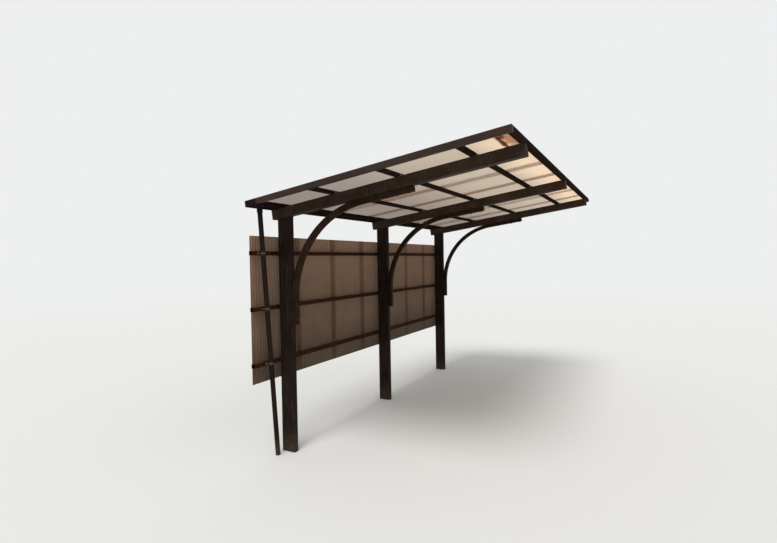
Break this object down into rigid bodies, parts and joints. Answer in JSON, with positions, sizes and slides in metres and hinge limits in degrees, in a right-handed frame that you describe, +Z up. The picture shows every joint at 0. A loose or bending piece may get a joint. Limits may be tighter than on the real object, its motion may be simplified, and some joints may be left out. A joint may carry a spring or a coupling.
{
  "type": "bike shelter",
  "caption": "Cantilever bike shelter: sloped translucent roof on posts with arched braces, corrugated back screen on rails, gutter and downspout.",
  "frame": {"origin": "centre of the middle post's foot, on the ground", "axes": "+X towards the open front, where the roof rises; +Y along the row of posts, from the end with the downspout to the other; +Z up"},
  "size_m": [2.2641, 4.38, 2.5293],
  "materials": {
    "post_paint": "satin",
    "beam_paint": "satin",
    "brace_paint": "satin",
    "cap_paint": "satin",
    "roof_frame": "satin",
    "glazing_bar": "satin",
    "roof_panel": "frosted",
    "rail_paint": "rusted",
    "screen_sheet": "satin",
    "downspout": "satin",
    "clip_steel": "satin"
  },
  "bodies": {
    "root": {"post_1": "post_paint", "post_2": "post_paint", "post_3": "post_paint", "beam_1": "beam_paint", "beam_2": "beam_paint", "beam_3": "beam_paint", "brace_1": "brace_paint", "brace_2": "brace_paint", "brace_3": "brace_paint", "end_caps_1": "cap_paint", "end_caps_2": "cap_paint", "end_caps_3": "cap_paint", "side_frame_near": "roof_frame", "side_frame_far": "roof_frame", "front_frame": "roof_frame", "gutter": "roof_frame", "purlin_1": "roof_frame", "purlin_2": "roof_frame", "purlin_3": "roof_frame", "glazing_bar_1": "glazing_bar", "glazing_bar_2": "glazing_bar", "glazing_bar_3": "glazing_bar", "glazing_bar_4": "glazing_bar", "glazing_bar_5": "glazing_bar", "glazing_bar_6": "glazing_bar", "roof_panel_1": "roof_panel", "roof_panel_2": "roof_panel", "roof_panel_3": "roof_panel", "roof_panel_4": "roof_panel", "roof_panel_5": "roof_panel", "roof_panel_6": "roof_panel", "roof_panel_7": "roof_panel", "rail_top": "rail_paint", "rail_middle": "rail_paint", "rail_lower": "rail_paint", "screen_sheet_1": "screen_sheet", "screen_sheet_2": "screen_sheet", "screen_sheet_3": "screen_sheet", "screen_sheet_4": "screen_sheet", "screen_sheet_5": "screen_sheet", "screen_sheet_6": "screen_sheet", "screen_sheet_7": "screen_sheet", "downspout": "downspout", "outlet_socket": "downspout", "pipe_clips": "clip_steel"}
  },
  "joints": []
}
